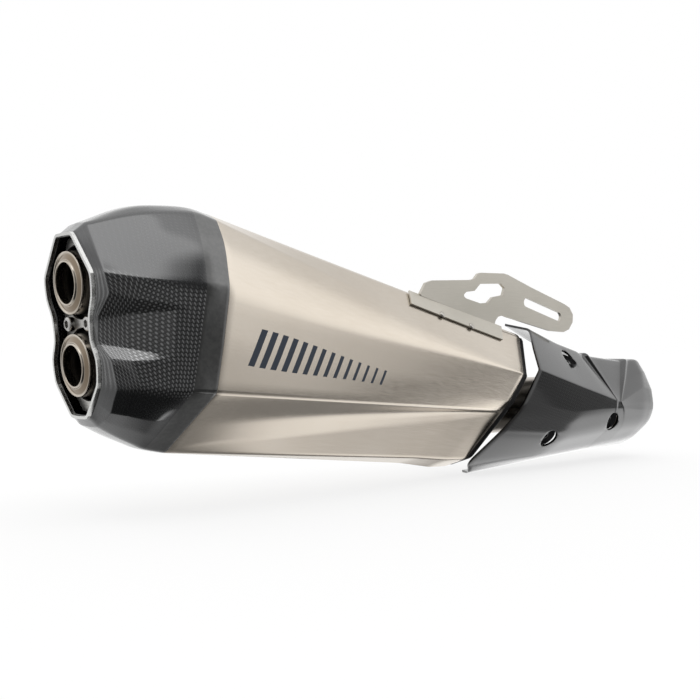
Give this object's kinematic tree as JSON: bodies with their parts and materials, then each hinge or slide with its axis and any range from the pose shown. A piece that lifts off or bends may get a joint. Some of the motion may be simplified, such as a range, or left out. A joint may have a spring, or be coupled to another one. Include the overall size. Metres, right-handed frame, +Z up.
{
  "type": "motorcycle slip-on silencer",
  "caption": "Faceted titanium slip-on silencer with a carbon end cap around stacked twin outlets, a carbon heat shield, a slotted hanger bracket and a clamped inlet pipe.",
  "frame": {"origin": "centre of the inlet bore at its open front face", "axes": "+X forward along the inlet pipe, out of the inlet mouth; +Y towards the wheel side, away from the heat shield; +Z up"},
  "size_m": [0.69, 0.128, 0.2216],
  "materials": {
    "sleeve_titanium": "brushed satin, warm titanium tone",
    "cap_titanium": "satin",
    "inner_sheet": "satin",
    "inner_pipe": "satin, heat stained",
    "cap_carbon": "clear-coated carbon weave",
    "shield_carbon": "satin clear-coated carbon weave",
    "rim_aluminium": "satin",
    "plate_aluminium": "satin",
    "screw_steel": "satin",
    "tip_steel": "satin, slightly heat tinted",
    "damper_tube": "dull, soot darkened",
    "wool": "matt fibre",
    "pipe_titanium": "satin",
    "clamp_steel": "satin",
    "bracket_titanium": "satin",
    "rivet_titanium": "satin",
    "shield_screw_steel": "satin",
    "washer_black": "satin black",
    "standoff_rubber": "matt"
  },
  "bodies": {
    "silencer": {"outer_sleeve": "sleeve_titanium", "front_cap": "cap_titanium", "rear_bulkhead": "inner_sheet", "end_cap": "cap_carbon", "outlet_rim_trim": "rim_aluminium", "outlet_seat_plate": "inner_sheet", "upper_outlet_pipe": "inner_pipe", "lower_outlet_pipe": "inner_pipe", "rear_baffle": "inner_sheet", "front_baffle": "inner_sheet", "perforated_core": "inner_pipe", "packing": "wool", "inlet_pipe": "pipe_titanium", "inlet_sleeve": "pipe_titanium", "inlet_clamp_band": "clamp_steel", "inlet_clamp_bolt": "screw_steel", "inlet_clamp_nut": "screw_steel", "mounting_bracket": "bracket_titanium", "bracket_rivets": "rivet_titanium", "heat_shield": "shield_carbon", "shield_screws": "shield_screw_steel", "shield_cup_washers": "washer_black", "shield_standoffs": "standoff_rubber"},
    "noise_damper": {"outlet_plate": "plate_aluminium", "outlet_plate_screws": "screw_steel", "tip_carrier_plate": "inner_sheet", "upper_outlet_tip": "tip_steel", "lower_outlet_tip": "tip_steel", "upper_damper_tube": "damper_tube", "lower_damper_tube": "damper_tube"}
  },
  "joints": [
    {"name": "damper_slide", "type": "slide", "parent": "silencer", "child": "noise_damper", "axis": [-0.9954, 0, -0.0958], "range_m": [0, 0.12]}
  ]
}
